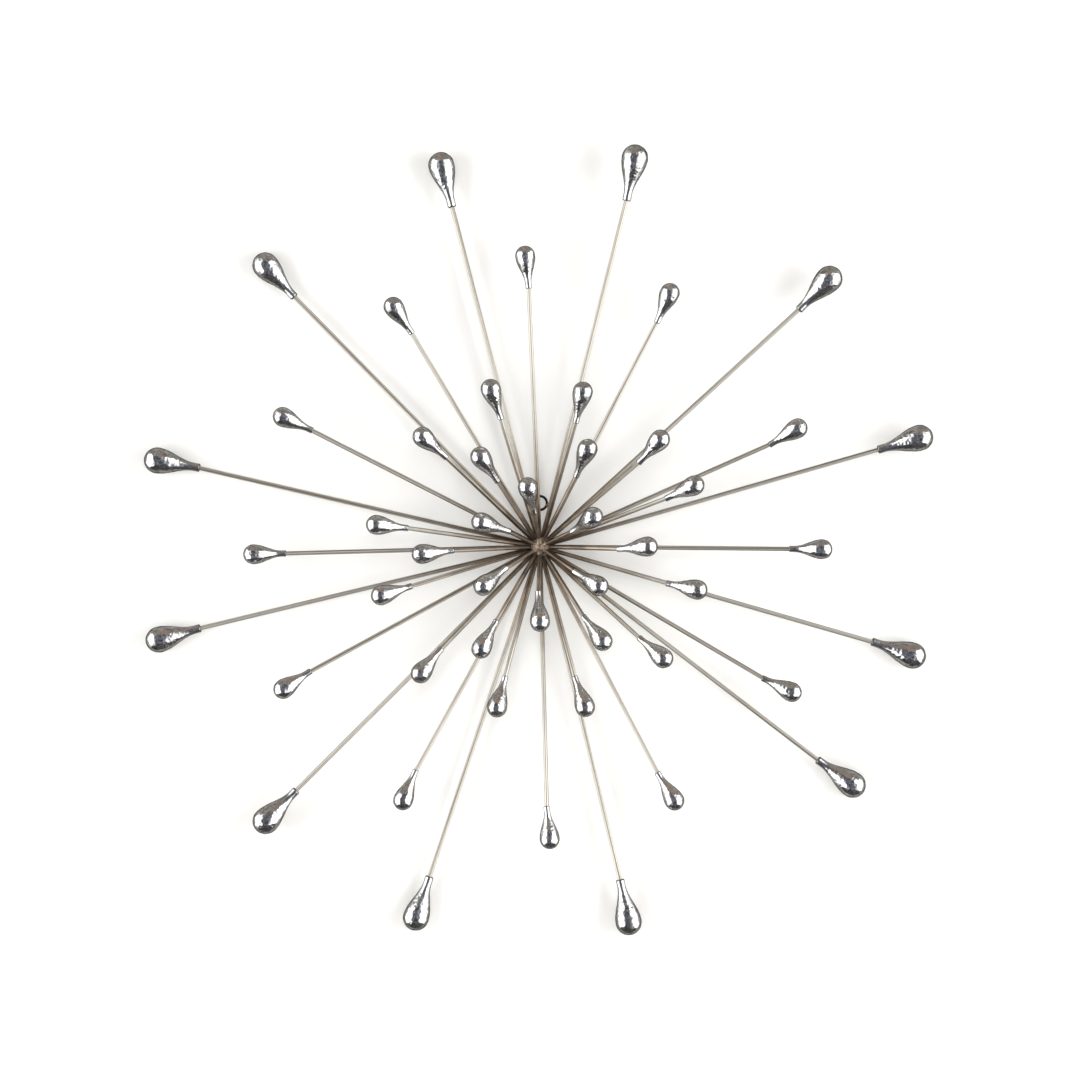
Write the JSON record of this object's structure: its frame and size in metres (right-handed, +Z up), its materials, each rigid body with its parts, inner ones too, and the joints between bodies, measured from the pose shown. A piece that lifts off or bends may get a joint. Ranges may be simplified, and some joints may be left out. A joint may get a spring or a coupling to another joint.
{
  "type": "sunburst wall sculpture",
  "caption": "Wall-hung metal sunburst: chromed teardrops on straight steel rods that fan out in tiers from a small brazed bronze hub, with a hanging ring behind.",
  "frame": {"origin": "middle of the hanging ring's hole", "axes": "+Z up, +Y into the wall along the hole's axis, -Y towards the viewer, +X to the viewer's right"},
  "size_m": [0.7578, 0.0929, 0.7567],
  "materials": {
    "chrome": "bright chrome over a gently hammered, hand-finished surface",
    "steel_rod": "drawn steel rod, bright at the drops and heat-browned towards the hub",
    "bronze": "brown bronze braze, lumpy and semi-bright",
    "dark_steel": "dark oxidised steel"
  },
  "bodies": {
    "root": {"hub_core": "bronze", "hanging_ring": "dark_steel", "ring_braze": "bronze", "outer_rods": "steel_rod", "second_rods": "steel_rod", "third_rods": "steel_rod", "fourth_rods": "steel_rod", "inner_rods": "steel_rod", "outer_drop_01": "chrome", "outer_drop_02": "chrome", "outer_drop_03": "chrome", "outer_drop_04": "chrome", "outer_drop_05": "chrome", "outer_drop_06": "chrome", "outer_drop_07": "chrome", "outer_drop_08": "chrome", "outer_drop_09": "chrome", "outer_drop_10": "chrome", "outer_drop_11": "chrome", "outer_drop_12": "chrome", "second_drop_01": "chrome", "second_drop_02": "chrome", "second_drop_03": "chrome", "second_drop_04": "chrome", "second_drop_05": "chrome", "second_drop_06": "chrome", "second_drop_07": "chrome", "second_drop_08": "chrome", "second_drop_09": "chrome", "second_drop_10": "chrome", "second_drop_11": "chrome", "second_drop_12": "chrome", "third_drop_01": "chrome", "third_drop_02": "chrome", "third_drop_03": "chrome", "third_drop_04": "chrome", "third_drop_05": "chrome", "third_drop_06": "chrome", "third_drop_07": "chrome", "third_drop_08": "chrome", "third_drop_09": "chrome", "third_drop_10": "chrome", "third_drop_11": "chrome", "third_drop_12": "chrome", "fourth_drop_01": "chrome", "fourth_drop_02": "chrome", "fourth_drop_03": "chrome", "fourth_drop_04": "chrome", "fourth_drop_05": "chrome", "fourth_drop_06": "chrome", "inner_drop_01": "chrome", "inner_drop_02": "chrome", "inner_drop_03": "chrome", "inner_drop_04": "chrome", "inner_drop_05": "chrome", "inner_drop_06": "chrome"}
  },
  "joints": []
}
